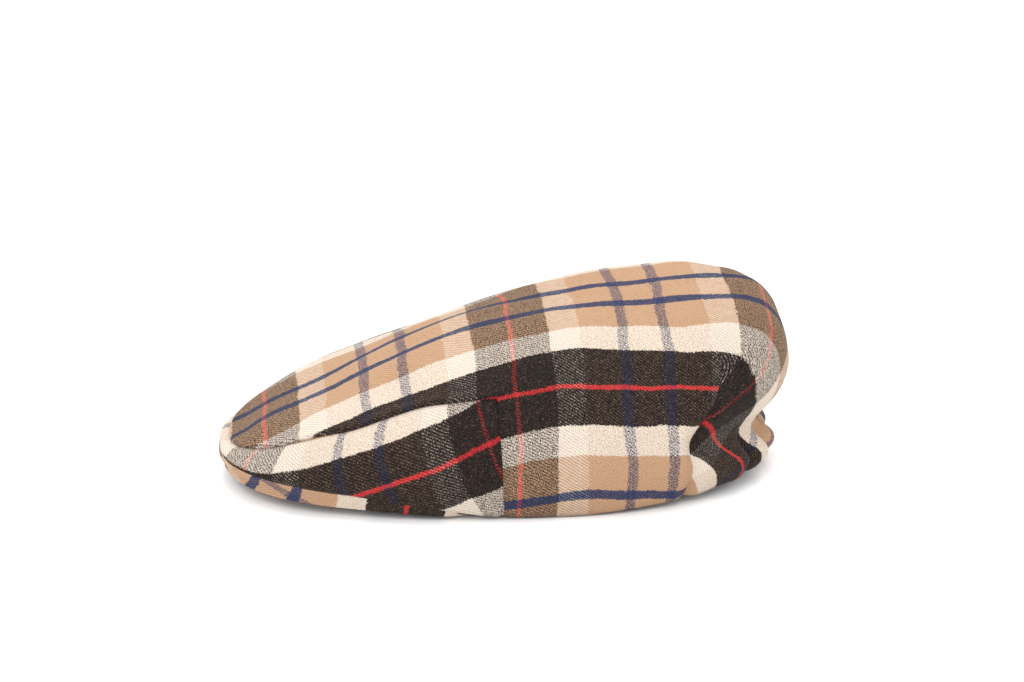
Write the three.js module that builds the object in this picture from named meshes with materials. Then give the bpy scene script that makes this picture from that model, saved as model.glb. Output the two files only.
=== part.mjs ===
// Flat cap in woollen cloth, resting on its rim.
// Millimetres, +Z up, the peak points along -X, the wearer's left side is -Y.
// The origin is the bottom centre of the cap's box.
import * as THREE from 'three';

// ---- Driving dimensions -------------------------------------------------
const CLOTH_WALL = 2.2;      // wool cloth with its lining
const PEAK_WALL = 2.2;       // cloth over the stiffened peak
const UNDER_WALL = 2.2;      // lower cover of the peak
const BAND_WALL = 1.5;       // sweatband
const UNDER_TURN = 66;       // degrees to each end of the peak's lower cover
const BOX_CENTRE_X = 1.5;    // middle of the cap's length in the rings' own x

const SEAM_GAP = 0.35;       // between two pieces that meet

// Facets: columns round the cap and rows up it
const FRONT_COLUMNS = 32;
const BACK_COLUMNS = 68;
const BAND_COLUMNS = 72;
const LOWER_ROWS = 7;
const UPPER_ROWS = 11;
const UNDER_ROWS = 7;
const BAND_ROWS = 3;

// A ring goes round the cap. It has its front end (frontX, frontZ), its widest
// point (sideX, halfWidth, sideZ) and its rear end (backX, backZ). The squareness of
// each half's outline is 2 for an ellipse and more for a boxier curve. The ring
// keeps its side's height as far as flat (a cosine), then lifts to its ends.
const COLUMNS = ['level', 'frontX', 'frontZ', 'halfWidth', 'sideX', 'sideZ', 'backX', 'backZ',
  'frontSquare', 'backSquare', 'flat', 'lift'];
const OUTER_RINGS = table([
  [0.00, -132, 11, 67, 25, 0.8, 126.5, 6, 2.6, 2.2, 0.05, 1],        // lower edge
  [0.15, -134, 15, 70, 28.5, 20, 130.5, 14, 2.6, 2.2, 0, 1.8],       // roll of the peak
  [0.30, -128.5, 20.5, 67, 32, 39, 122.5, 25.5, 2.4, 2.3, 0, 2],     // rear crease
  [0.45, -110, 33, 59.5, 35.5, 55, 133, 40, 2.2, 2.5, 0, 2],         // rear overhang
  [0.58, -83.5, 44.5, 52, 38.5, 65.5, 137, 56.5, 2.0, 2.6, 0, 2],
  [0.72, -49, 61, 42, 41.5, 75, 131, 77, 1.9, 2.7, 0, 2],
  [0.86, -4, 76.5, 26.5, 45, 81.5, 112, 87, 1.8, 2.6, 0, 2],
]);
const SUMMIT = { x: 54, z: 84.5 };

// Lower cover of the peak, from the forehead line out to the cover's lower edge
const UNDER_RINGS = table([
  [0.00, -80.6, 28, 65, 25, 3, 118, 8, 2.2, 2.2, 0.1, 1.8],
  [0.40, -104, 15.5, 64.4, 25, 1.8, 120, 8, 2.4, 2.2, 0.1, 1.8],
  [0.75, -121, 8, 64, 25, 1.2, 121, 8, 2.6, 2.2, 0.08, 1.2],
  [1.00, -128.8, 10.5, 63.9, 25, 1, 121, 8, 2.6, 2.2, 0.05, 1],
]);

// Sweatband, from the head opening up
const BAND_RINGS = table([
  [0.00, -79.8, 26, 64.2, 25, 0, 115, 8, 2.2, 2.0, 0.35, 1.8],
  [1.00, -78.5, 38, 64, 48, 28, 114.5, 34, 2.2, 2.0, 0, 2],
]);

// The crown's front seam rises from the front centre to the temples. There an
// upright seam parts the peak's cover from the crown.
const SEAM = { frontLevel: 0.30, templeLevel: 0.48, rise: 1.15 };
const TEMPLE = { footX: -3.5, topX: -6.2 };

// Gathers of the rear band, the rear darts, and the lean and the puff by which
// the cloth's top stands higher on the wearer's right
const GATHERS = { count: 24, depth: 2.0, halfTurn: 50, topLevel: 0.34 };
const DART = { turn: 129, halfTurn: 7, depth: 1.6, topLevel: 0.66 };
const LEAN = { rise: 0.13, fromX: 10, toX: 90, fromZ: 10, toZ: 60 };
const PUFF = { rise: 4, fromX: -10, toX: 70, toY: 40, fromZ: 40, toZ: 75 };

// ---- Outlines and surfaces ----------------------------------------------

function table(rows) {
  return rows.map((row) => Object.fromEntries(row.map((value, i) => [COLUMNS[i], value])));
}

const radians = (degrees) => degrees * Math.PI / 180;

// 0 below from, 1 above to, and an S-shaped curve between them
function ramp(value, from, to) {
  const t = Math.min(Math.max((value - from) / (to - from), 0), 1);
  return t * t * (3 - 2 * t);
}

// A point of a ring; turn is in degrees, 0 at the front centre, 90 at the
// wearer's left side and 180 at the back.
function ringPoint(ring, turn) {
  const ahead = Math.cos(radians(turn));
  const aside = Math.sin(radians(turn));
  const front = ahead > 0;
  const power = 2 / (front ? ring.frontSquare : ring.backSquare);
  const endX = front ? ring.frontX : ring.backX;
  const endZ = front ? ring.frontZ : ring.backZ;
  const lift = Math.max((Math.abs(ahead) - ring.flat) / (1 - ring.flat), 0) ** ring.lift;
  return new THREE.Vector3(
    ring.sideX + (endX - ring.sideX) * Math.abs(ahead) ** power,
    -Math.sign(aside) * ring.halfWidth * Math.abs(aside) ** power,
    ring.sideZ + (endZ - ring.sideZ) * lift,
  );
}

// A point of the surface through a stack of rings: a smooth curve runs up each
// rib from ring to ring and, where the stack is closed by a summit, over it.
function pointOnRings(rings, level, turn, summit) {
  const knots = rings.map((ring) => ({ level: ring.level, at: ringPoint(ring, turn) }));
  if (summit) {
    const last = rings.at(-1);
    knots.push({ level: 1, at: new THREE.Vector3(summit.x, 0, summit.z) });
    knots.push({ level: 2 - last.level, at: ringPoint(last, turn + 180) });
  }
  const upper = knots.findIndex((knot, i) => i > 0 && level <= knot.level);
  const k = upper < 0 ? knots.length - 1 : upper;
  const slope = (i) => {
    const below = knots[Math.max(i - 1, 0)];
    const above = knots[Math.min(i + 1, knots.length - 1)];
    return above.at.clone().sub(below.at).divideScalar(above.level - below.level);
  };
  const span = knots[k].level - knots[k - 1].level;
  const t = (level - knots[k - 1].level) / span;
  return new THREE.Vector3()
    .addScaledVector(knots[k - 1].at, 2 * t ** 3 - 3 * t ** 2 + 1)
    .addScaledVector(slope(k - 1), span * (t ** 3 - 2 * t ** 2 + t))
    .addScaledVector(knots[k].at, 3 * t ** 2 - 2 * t ** 3)
    .addScaledVector(slope(k), span * (t ** 3 - t ** 2));
}

// The cap's outer surface before its folds, with its lean and puff
function capSurface(level, turn) {
  const { x, y, z } = pointOnRings(OUTER_RINGS, level, turn, SUMMIT);
  const lean = LEAN.rise * y * ramp(x, LEAN.fromX, LEAN.toX) * ramp(z, LEAN.fromZ, LEAN.toZ);
  const across = ramp(x, PUFF.fromX, PUFF.toX) * ramp(y, 0, PUFF.toY);
  const puff = PUFF.rise * across * ramp(z, PUFF.fromZ, PUFF.toZ);
  return new THREE.Vector3(x, y, z + lean + puff);
}
const underSurface = (level, turn) => pointOnRings(UNDER_RINGS, level, turn);
const bandSurface = (level, turn) => pointOnRings(BAND_RINGS, level, turn);

// How far the cloth stands out of the smooth surface: gathers at the rear band
// are waves round the cap, and each dart is a shallow valley up the cap.
function foldHeight(level, turn) {
  const fromBack = Math.abs(turn - 180);
  const gathered = (1 - ramp(fromBack, GATHERS.halfTurn * 0.6, GATHERS.halfTurn))
    * (1 - ramp(level, GATHERS.topLevel * 0.5, GATHERS.topLevel));
  const fromDart = (Math.abs(fromBack - (180 - DART.turn))) / DART.halfTurn;
  const darted = Math.max(1 - fromDart, 0) ** 2 * (1 - ramp(level, 0.3, DART.topLevel));
  return GATHERS.depth * Math.cos(radians(GATHERS.count * turn)) * gathered - DART.depth * darted;
}

// Outward unit normal of a surface, by small steps along both parameters
function normalOf(surface, level, turn) {
  const [levelStep, turnStep] = [0.004, 0.2];
  const middle = Math.min(Math.max(level, levelStep), 0.97);
  const alongTurn = surface(middle, turn + turnStep).sub(surface(middle, turn - turnStep));
  const alongLevel = surface(middle + levelStep, turn).sub(surface(middle - levelStep, turn));
  return alongTurn.cross(alongLevel).normalize();
}

// The turn at which the surface, at a level, crosses the upright plane at x
function turnAtX(level, x) {
  let [front, back] = [40, 100];
  while (back - front > 0.001) {
    const middle = (front + back) / 2;
    if (capSurface(level, middle).x < x) front = middle;
    else back = middle;
  }
  return front;
}

// Ribs run up the cap. A rib's place is -1 to 1 across the front, from temple
// seam to temple seam, and 1 to 3 round the back, and this is its turn. The
// temple seam is followed at a gap in front of it.
function ribTurn(place, level, gap = 0) {
  const height = Math.min(level, SEAM.templeLevel);
  const seamX = TEMPLE.footX + (TEMPLE.topX - TEMPLE.footX) * height / SEAM.templeLevel;
  const temple = turnAtX(height, seamX - gap);
  return place <= 1 ? place * temple : temple + (place - 1) * (180 - temple);
}

// Level of the crown's front seam on a rib, and of the cover's edge below it
function seamLevel(place) {
  const reach = ramp(Math.min(Math.abs(place), 1) ** SEAM.rise, 0, 1);
  return SEAM.frontLevel + (SEAM.templeLevel - SEAM.frontLevel) * reach;
}
function coverLevel(place) {
  const [level, step] = [seamLevel(place), 0.01];
  const turn = ribTurn(place, level);
  const length = capSurface(level, turn).distanceTo(capSurface(level - step, turn));
  return level - SEAM_GAP * step / length;
}

// ---- Solids -------------------------------------------------------------

// Evenly spaced values from first to last, both of them included
function spread(first, last, steps) {
  return Array.from({ length: steps + 1 }, (_, i) => first + (last - first) * i / steps);
}

// A closed solid from the outer and inner points of a wall and the outer face's
// triangles: the inner face repeats them reversed, and a strip closes each rim.
function wallMesh(name, finish, outer, inner, triangles) {
  const edges = new Set();
  for (const [a, b, c] of triangles) {
    for (const edge of [[a, b], [b, c], [c, a]]) edges.add(edge.join());
  }
  const n = outer.length;
  const faces = triangles.flatMap(([a, b, c]) => [a, b, c, n + c, n + b, n + a]);
  for (const edge of edges) {
    const [a, b] = edge.split(',').map(Number);
    if (!edges.has([b, a].join())) faces.push(b, a, n + a, b, n + a, n + b);
  }
  const geometry = new THREE.BufferGeometry();
  const coordinates = [...outer, ...inner].flatMap((point) => point.toArray());
  geometry.setAttribute('position', new THREE.Float32BufferAttribute(coordinates, 3));
  geometry.setIndex(faces);
  geometry.computeVertexNormals();
  const mesh = new THREE.Mesh(geometry, new THREE.MeshStandardMaterial(finish));
  mesh.name = name;
  return mesh;
}

// A wall over a grid of a surface. Each column is a list of [level, turn] from
// the bottom up, with null where the wall is cut away. A ring's last column
// meets its first, and a summit closes the top. A standing wall is thickened
// level, so its lower edge stays flat, and a lying wall straight up.
function wallOver(name, finish, surface, columns, options) {
  const { thickness, ring = false, summit = false, wall = 'curved', fold = () => 0 } = options;
  const [outer, inner, triangles] = [[], [], []];
  const addPoint = ([level, turn]) => {
    const normal = normalOf(surface, level, turn);
    if (wall === 'standing') normal.setZ(0).normalize();
    if (wall === 'lying') normal.set(0, 0, -1);
    const point = surface(level, turn).addScaledVector(normal, fold(level, turn));
    outer.push(point);
    inner.push(point.clone().addScaledVector(normal, -thickness));
    return outer.length - 1;
  };
  const grid = columns.map((column) => column.map((place) => (place ? addPoint(place) : null)));
  const top = summit ? addPoint([1, 180]) : null;
  const pairs = grid.slice(1).map((next, i) => [grid[i], next]);
  if (ring) pairs.push([grid.at(-1), grid[0]]);
  for (const [here, next] of pairs) {
    for (let row = 0; row + 1 < here.length; row += 1) {
      if (here[row] === null || next[row] === null) continue;
      triangles.push([here[row], next[row], next[row + 1]], [here[row], next[row + 1], here[row + 1]]);
    }
    if (summit) triangles.push([here.at(-1), next.at(-1), top]);
  }
  return wallMesh(name, finish, outer, inner, triangles);
}

// The crown's top runs all the way round; its sides and back, below the front
// seam's level, run from temple to temple.
function crown() {
  const front = spread(-1, 1, FRONT_COLUMNS);
  const back = spread(1, 3, BACK_COLUMNS).slice(1, -1);
  const columns = [...front, ...back].map((place) => {
    const seam = seamLevel(place);
    const sides = spread(0, seam, LOWER_ROWS).slice(0, -1);
    const top = spread(seam, 1, UPPER_ROWS).slice(0, -1);
    const rib = [...sides, ...top].map((level) => [level, ribTurn(place, level)]);
    return Math.abs(place) < 1 ? rib.fill(null, 0, LOWER_ROWS) : rib;
  });
  return wallOver('crown', { color: 0xc9a888, roughness: 0.95 }, capSurface, columns, {
    thickness: CLOTH_WALL, ring: true, summit: true, fold: foldHeight,
  });
}

// The peak's cover fills the front between the temples, below the front seam
function peakCover() {
  const columns = spread(-1, 1, FRONT_COLUMNS).map((place) => (
    spread(0, coverLevel(place), LOWER_ROWS).map((level) => (
      [level, ribTurn(place, level, SEAM_GAP)]))));
  return wallOver('peak_cover', { color: 0x3a3130, roughness: 0.95 }, capSurface, columns, {
    thickness: PEAK_WALL,
  });
}

// The peak's lower cover, from the forehead line to the rolled edge
function peakUnder() {
  const columns = spread(-UNDER_TURN, UNDER_TURN, FRONT_COLUMNS).map((turn) => (
    spread(0, 1, UNDER_ROWS).map((level) => [level, turn])));
  return wallOver('peak_under', { color: 0xb8977a, roughness: 0.95 }, underSurface, columns, {
    thickness: UNDER_WALL, wall: 'lying',
  });
}

// The sweatband stands inside the head opening
function sweatband() {
  const columns = spread(0, 360, BAND_COLUMNS).slice(0, -1).map((turn) => (
    spread(0, 1, BAND_ROWS).map((level) => [level, turn])));
  return wallOver('sweatband', { color: 0x17151a, roughness: 0.85 }, bandSurface, columns, {
    thickness: BAND_WALL, ring: true, wall: 'standing',
  });
}

const cap = new THREE.Group();
cap.add(crown(), peakCover(), peakUnder(), sweatband());
cap.position.set(-BOX_CENTRE_X, 0, 0);

export default cap;
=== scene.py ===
"""Looks of a woollen flat cap that rests on its rim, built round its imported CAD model.

Frame: metres, +Z up, the peak points along -X, the wearer's left side is -Y.
Shapes are worked out in millimetres and degrees, and scaled when their meshes are made.
A place on the cap is given by its level, from 0 at the lower edge to 1 at the summit, and
its turn round the rim: 0 at the front centre, 90 on the wearer's left, 180 at the rear.
"""

import bpy
import numpy as np
from mathutils import Matrix, Vector


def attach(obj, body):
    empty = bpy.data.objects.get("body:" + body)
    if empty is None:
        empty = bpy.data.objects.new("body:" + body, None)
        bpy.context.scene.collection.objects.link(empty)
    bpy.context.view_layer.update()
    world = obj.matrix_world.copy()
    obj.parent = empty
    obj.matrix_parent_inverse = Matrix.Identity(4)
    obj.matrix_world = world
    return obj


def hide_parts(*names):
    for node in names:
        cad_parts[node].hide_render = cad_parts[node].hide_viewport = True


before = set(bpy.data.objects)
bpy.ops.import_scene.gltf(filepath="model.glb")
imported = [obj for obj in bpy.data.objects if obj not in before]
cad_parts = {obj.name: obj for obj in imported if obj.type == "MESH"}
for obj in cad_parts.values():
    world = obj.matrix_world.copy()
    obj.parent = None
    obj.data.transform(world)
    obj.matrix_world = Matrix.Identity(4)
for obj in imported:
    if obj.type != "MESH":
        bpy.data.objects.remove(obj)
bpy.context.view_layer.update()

MM = 0.001

# ---- Sizes: millimetres, degrees and levels -------------------------------------------
CROWN_WALL = 2.2       # with its lining
PEAK_WALL = 2.2
UNDER_WALL = 2.2
EDGE_WALL = 1.0        # the lower cover where it is turned up over the peak's edge
BAND_WALL = 1.5
HEM_WALL = 1.2

BOX_CENTRE_X = 1.5     # the middle of the rim's box, in the rings' own x

# a ring: its level, its front end, its half width with the place of its sides, its rear
# end, the squareness of its two halves, how much of its sides stays flat (as a cosine),
# and the power by which it then lifts to its ends
COLUMNS = ("level", "front_x", "front_z", "half", "side_x", "side_z", "back_x", "back_z",
           "front_square", "back_square", "flat", "lift")
OUTER_RINGS = [
    (0.00, -132, 11, 67, 25, 0.8, 126.5, 6, 2.6, 2.2, 0.05, 1),
    (0.15, -134, 15, 70, 28.5, 20, 130.5, 14, 2.6, 2.2, 0, 1.8),
    (0.30, -128.5, 20.5, 67, 32, 39, 122.5, 25.5, 2.4, 2.3, 0, 2),
    (0.45, -110, 33, 59.5, 35.5, 55, 133, 40, 2.2, 2.5, 0, 2),
    (0.58, -83.5, 44.5, 52, 38.5, 65.5, 137, 56.5, 2.0, 2.6, 0, 2),
    (0.72, -49, 61, 42, 41.5, 75, 131, 77, 1.9, 2.7, 0, 2),
    (0.86, -4, 76.5, 26.5, 45, 81.5, 112, 87, 1.8, 2.6, 0, 2),
]
SUMMIT = (54, 0, 84.5)
UNDER_RINGS = [
    (0.00, -80.6, 28, 65, 25, 3, 118, 8, 2.2, 2.2, 0.1, 1.8),
    (0.40, -104, 15.5, 64.4, 25, 1.8, 120, 8, 2.4, 2.2, 0.1, 1.8),
    (0.75, -121, 8, 64, 25, 1.2, 121, 8, 2.6, 2.2, 0.08, 1.2),
    (1.00, -128.8, 10.5, 63.9, 25, 1, 121, 8, 2.6, 2.2, 0.05, 1),
]
BAND_RINGS = [
    (0.00, -79.8, 26, 64.2, 25, 0, 115, 8, 2.2, 2.0, 0.35, 1.8),
    (1.00, -78.5, 38, 64, 48, 28, 114.5, 34, 2.2, 2.0, 0, 2),
]

# the top's rear: height for each millimetre to the wearer's right, and a puff on that
# side, each with the stretches of x, y and z over which it grows
LEAN, LEAN_X, LEAN_Z = 0.13, (10, 90), (10, 60)
PUFF, PUFF_X, PUFF_Y, PUFF_Z = 4.0, (-10, 70), (0, 40), (40, 75)

# seams: the upright one at each temple, and the crown's front one, which rises by a power
# from the front centre to the temples, with a dip and a lift (level, reach) where it is slack
TEMPLE_FOOT_X, TEMPLE_TOP_X = -3.5, -6.2
TEMPLE_TURNS, HALVINGS = (40.0, 100.0), 18    # between which turns it is looked for
SEAM_FRONT, SEAM_TEMPLE, SEAM_RISE = 0.30, 0.48, 1.15
DIP_PLACE, DIP = 0.62, (-0.015, 0.07)
LIFT_PLACE, LIFT = 0.80, (0.010, 0.06)

# the crown's grid, in which a rib lies on each dart
FRONT_RIBS, BACK_RIBS = 150, 230
SIDE_ROWS, TOP_ROWS = 44, 74
DART_TURN, DART_RIB = 121.5, 41
DART_PLACE = 1 + 2 * DART_RIB / BACK_RIBS


# ---- Surfaces --------------------------------------------------------------------------
def ramp(value, low, high):
    """0 below low, 1 above high, 3t^2 - 2t^3 between."""
    t = np.clip((value - low) / (high - low), 0, 1)
    return t * t * (3 - 2 * t)


def bell(distance, height, reach, power=2):
    """A soft relief: its height times exp(-(distance / reach)^power)."""
    return height * np.exp(-((distance / reach) ** power))


def bunched(count, even, power):
    """Count steps from 0 to 1 that are shorter near 0: a share of them even, and the rest
    raised to a power."""
    step = np.linspace(0, 1, count + 1)
    return even * step + (1 - even) * step**power


def ring_points(rings, turn):
    """Points of every ring at each turn: a superellipse in plan whose front and rear
    halves have their own ends and squareness, lifted from its side's height to the end's
    height by a power of the cosine beyond flat. Shape: rings x turns x 3."""
    ring = dict(zip(COLUMNS, np.array(rings, float).T[:, :, None]))
    ahead, aside = np.cos(np.radians(turn))[None], np.sin(np.radians(turn))[None]
    front = ahead > 0
    power = 2 / np.where(front, ring["front_square"], ring["back_square"])
    end_x = np.where(front, ring["front_x"], ring["back_x"])
    end_z = np.where(front, ring["front_z"], ring["back_z"])
    lift = np.clip((np.abs(ahead) - ring["flat"]) / (1 - ring["flat"]), 0, 1) ** ring["lift"]
    return np.stack([
        ring["side_x"] + (end_x - ring["side_x"]) * np.abs(ahead) ** power,
        -np.sign(aside) * ring["half"] * np.abs(aside) ** power,
        ring["side_z"] + (end_z - ring["side_z"]) * lift], axis=-1)


def on_rings(rings, level, turn, summit=None):
    """A smooth curve up each rib through its rings: cubic Hermite spans whose slopes are
    the differences of the neighbouring rings, and on over the summit where there is one."""
    level, turn = np.broadcast_arrays(np.asarray(level, float), np.asarray(turn, float))
    shape = level.shape
    level, turn = level.ravel(), turn.ravel()
    knots = np.array([row[0] for row in rings])
    points = ring_points(rings, turn)
    if summit is not None:
        top = np.broadcast_to(np.array(summit, float), points[:1].shape)
        over = ring_points(rings[-1:], turn + 180)
        points = np.concatenate([points, top, over])
        knots = np.append(knots, [1.0, 2.0 - rings[-1][0]])
    end = np.clip(np.searchsorted(knots, level), 1, len(knots) - 1)
    start = end - 1
    before, after = np.maximum(end - 2, 0), np.minimum(end + 1, len(knots) - 1)
    index = np.arange(len(level))
    span = (knots[end] - knots[start])[:, None]
    t = (level - knots[start])[:, None] / span
    slope_a = (points[end, index] - points[before, index]) / (knots[end] - knots[before])[:, None]
    slope_b = (points[after, index] - points[start, index]) / (knots[after] - knots[start])[:, None]
    out = (points[start, index] * (2 * t**3 - 3 * t**2 + 1)
           + slope_a * span * (t**3 - 2 * t**2 + t)
           + points[end, index] * (3 * t**2 - 2 * t**3)
           + slope_b * span * (t**3 - t**2))
    return out.reshape(shape + (3,))


def cap_surface(level, turn):
    """The cap's smooth outside: the outer rings, with a lean and a puff by which the
    top's rear stands higher on the wearer's right."""
    point = on_rings(OUTER_RINGS, level, turn, SUMMIT)
    x, y, z = point[..., 0], point[..., 1], point[..., 2]
    lean = LEAN * y * ramp(x, *LEAN_X) * ramp(z, *LEAN_Z)
    puff = PUFF * ramp(x, *PUFF_X) * ramp(y, *PUFF_Y) * ramp(z, *PUFF_Z)
    return np.stack([x, y, z + lean + puff], axis=-1)


def under_surface(level, turn):
    """The peak's underside, from the forehead line out to its lower edge."""
    return on_rings(UNDER_RINGS, level, turn)


def band_surface(level, turn):
    """The outside of the sweatband, from its lower edge up."""
    return on_rings(BAND_RINGS, level, turn)


def unit(vectors):
    """Vectors divided by their lengths."""
    return vectors / np.linalg.norm(vectors, axis=-1, keepdims=True)


def level_unit(vectors):
    """Unit vectors of the same directions in plan."""
    return unit(vectors * np.array([1, 1, 0]))


def normals(surface, level, turn):
    """Outward unit normals: the cross product of small steps round and up the surface. At
    the very edge and the summit, those of the nearest level that has room for the steps."""
    up, around, highest = 0.004, 0.2, 0.97
    middle = np.clip(level, up, highest)
    round_step = surface(middle, turn + around) - surface(middle, turn - around)
    up_step = surface(middle + up, turn) - surface(middle - up, turn)
    return unit(np.cross(round_step, up_step))


def grid_normals(point):
    """Unit normals of a grid of points: the cross product of its two central differences."""
    return unit(np.cross(np.gradient(point, axis=0), np.gradient(point, axis=1)))


def temple_turn(level, gap=0.0):
    """The turn at which the outside meets the temple seam, a gap in front of it, found by
    halving: the seam's x goes evenly from its foot's to its top's."""
    level = np.minimum(level, SEAM_TEMPLE)
    x = TEMPLE_FOOT_X + (TEMPLE_TOP_X - TEMPLE_FOOT_X) * level / SEAM_TEMPLE - gap
    low, high = [np.full(level.shape, turn) for turn in TEMPLE_TURNS]
    for _ in range(HALVINGS):
        middle = (low + high) / 2
        before = cap_surface(level, middle)[..., 0] < x
        low, high = np.where(before, middle, low), np.where(before, high, middle)
    return low


def rib_turn(place, level, gap=0.0):
    """Turn of a rib at a level. Places -1 to 1 are spread evenly between the temple seams
    in front, and places 1 to 3 go round the back by a dart, the rear and the other dart."""
    temple = temple_turn(level, gap)
    side = np.minimum(place, 4 - place)
    to_dart = temple + (DART_TURN - temple) * (side - 1) / (DART_PLACE - 1)
    to_rear = DART_TURN + (180 - DART_TURN) * (side - DART_PLACE) / (2 - DART_PLACE)
    behind = np.where(side < DART_PLACE, to_dart, to_rear)
    behind = np.where(place > 2, 360 - behind, behind)
    return np.where(place <= 1, place * temple, behind)


def seam_level(place):
    """Level of the crown's front seam: a power of the place, eased at both ends, with a
    slack dip and a lift."""
    side = np.minimum(np.abs(place), 1)
    slack = bell(side - DIP_PLACE, *DIP) + bell(side - LIFT_PLACE, *LIFT)
    return SEAM_FRONT + (SEAM_TEMPLE - SEAM_FRONT) * ramp(side**SEAM_RISE, 0, 1) + slack


def path_length(points, axis=0):
    """Length along a polyline from its start to each of its points."""
    steps = np.linalg.norm(np.diff(points, axis=axis), axis=-1)
    zero = np.zeros_like(np.take(steps, [0], axis=axis))
    return np.concatenate([zero, np.cumsum(steps, axis=axis)], axis=axis)


# ---- Cloth coordinates -----------------------------------------------------------------
# The tartan reads each piece's cloth coordinates: its rows lie at equal first coordinates
# and its cross threads at equal second ones. Both are 0 in the middle of a camel field.
SETT = 62.0            # from the middle of a camel field to that of the next charcoal band
CHARCOAL_X = 3.0       # where a charcoal band crosses the crown
FOREMOST, REARMOST = 0.15, 0.585   # levels at which the outside reaches furthest
HUNG, STILL_FLAT = 0.56, 0.74      # levels between which the rear panel's cloth turns
SPREAD = (-0.1, 0.62)              # and over which it spreads
REAR_FULLNESS = 1.3    # of the rear panel's cloth to the edge that it is gathered to
GATHERED_LEVEL = 0.1   # of that edge
SECTION_TOP, SECTION_ROWS = 0.985, 198


def section_table():
    """For planes of equal x, 1 mm apart, and a set of levels, how much further it is along
    the cloth from the centre line than the plain distance |y|. A plane's cut starts on the
    centre line's profile and goes down through the levels it meets."""
    levels = np.linspace(SECTION_TOP, 0, SECTION_ROWS)
    nose_x, rear_x = min(ring[1] for ring in OUTER_RINGS), max(ring[6] for ring in OUTER_RINGS)
    xs = np.arange(nose_x, rear_x + 1.0)
    rings = cap_surface(levels[:, None], np.linspace(0, 180, 361)[None, :])
    front = cap_surface(np.linspace(FOREMOST, 1, 240), 0.0)
    back = cap_surface(np.linspace(1, REARMOST, 140), 180.0)
    profile = np.concatenate([front, back[1:]])
    order = np.argsort(profile[:, 0])
    centre_z = np.interp(xs, profile[order, 0], profile[order, 2])
    cut = np.zeros((len(levels), len(xs), 2))
    for row, ring in zip(cut, rings):
        outside = (xs < ring[0, 0]) | (xs > ring[-1, 0])
        row[:, 0] = np.where(outside, 0, np.interp(xs, ring[:, 0], -ring[:, 1]))
        row[:, 1] = np.where(outside, centre_z, np.interp(xs, ring[:, 0], ring[:, 2]))
    start = np.stack([np.zeros(len(xs)), centre_z], axis=-1)[None]
    length = path_length(np.concatenate([start, cut]))[1:]
    along = np.interp(xs, profile[order, 0], path_length(profile)[order])
    return levels, xs, length - cut[..., 0], along - np.interp(CHARCOAL_X, xs, along) + SETT


SECTION = section_table()


def flat_cloth(level, turn):
    """Cloth coordinates of the crown's top and sides: across is the length over the cloth
    from the centre line in the plane of equal x, along is the length of the centre line's
    profile up to that plane. The table is read between its four nearest values."""
    levels, xs, extra, along = SECTION
    point = cap_surface(level, turn)
    row = np.clip((levels[0] - level) / (levels[0] - levels[1]), 0, len(levels) - 1.001)
    column = np.clip(point[..., 0] - xs[0], 0, len(xs) - 1.001)
    r, c = row.astype(int), column.astype(int)
    down, on = row - r, column - c
    more = ((extra[r, c] * (1 - on) + extra[r, c + 1] * on) * (1 - down)
            + (extra[r + 1, c] * (1 - on) + extra[r + 1, c + 1] * on) * down)
    across = -np.sign(point[..., 1]) * (np.abs(point[..., 1]) + more)
    return np.stack([across, np.interp(point[..., 0], xs, along)], axis=-1)


def hung_cloth(level, turn):
    """Cloth coordinates of the rear panel behind the darts. From the top down a rib, the
    flat cloth's steps give way to plain steps down the rib, so the lengthwise stripes turn
    and run down the back, and they spread until the panel's lower edge holds as much more
    cloth as its gathers take. Levels run along axis 1, upwards."""
    flat = flat_cloth(level, turn)[:, ::-1]
    points = cap_surface(level, turn)[:, ::-1]
    length = np.linalg.norm(np.diff(points, axis=1), axis=-1)
    middle = (level[:, ::-1][:, 1:] + level[:, ::-1][:, :-1]) / 2
    hold = ramp(middle, HUNG, STILL_FLAT)[..., None]
    down = np.stack([np.zeros_like(length), length], axis=-1)
    steps = hold * np.diff(flat, axis=1) + (1 - hold) * down
    laid = np.concatenate([flat[:, :1], flat[:, :1] + np.cumsum(steps, axis=1)], axis=1)
    laid = laid[:, ::-1]
    rear = np.linspace(90, 270, 181)
    round_rear = path_length(cap_surface(GATHERED_LEVEL, rear))
    to_middle = round_rear[len(rear) // 2] - np.interp(turn[:, 0], rear, round_rear)
    full = REAR_FULLNESS * to_middle
    spread = (full - laid[:, 0, 0])[:, None] * (1 - ramp(level, *SPREAD))
    return laid + np.stack([spread, np.zeros_like(spread)], axis=-1)


# ---- Meshes ----------------------------------------------------------------------------
def mesh_object(name, points, quads, uvs, slots, materials, smooth=True):
    """One mesh from arrays: points (n x 3, mm), quads (m x 4), uvs (m x 4 x 2, mm) and a
    material slot for each quad. A quad with a repeated last corner is a triangle."""
    mesh = bpy.data.meshes.new(name)
    mesh.vertices.add(len(points))
    mesh.vertices.foreach_set("co", (points * MM).astype(np.float32).ravel())
    sides = np.where(quads[:, 2] == quads[:, 3], 3, 4)
    starts = np.concatenate([[0], np.cumsum(sides)[:-1]])
    used = np.arange(4)[None] < sides[:, None]
    mesh.loops.add(int(sides.sum()))
    mesh.loops.foreach_set("vertex_index", quads[used].astype(np.int32))
    mesh.polygons.add(len(quads))
    mesh.polygons.foreach_set("loop_start", starts.astype(np.int32))
    mesh.polygons.foreach_set("loop_total", sides.astype(np.int32))
    mesh.polygons.foreach_set("material_index", np.asarray(slots, np.int32))
    mesh.polygons.foreach_set("use_smooth", np.full(len(quads), smooth))
    layer = mesh.uv_layers.new(name="cloth")
    layer.data.foreach_set("uv", (uvs[used] * MM).astype(np.float32).ravel())
    for material in materials:
        mesh.materials.append(material)
    mesh.update(calc_edges=True)
    mesh.validate()
    piece = bpy.data.objects.new(name, mesh)
    bpy.context.scene.collection.objects.link(piece)
    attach(piece, "root")
    return piece


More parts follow.
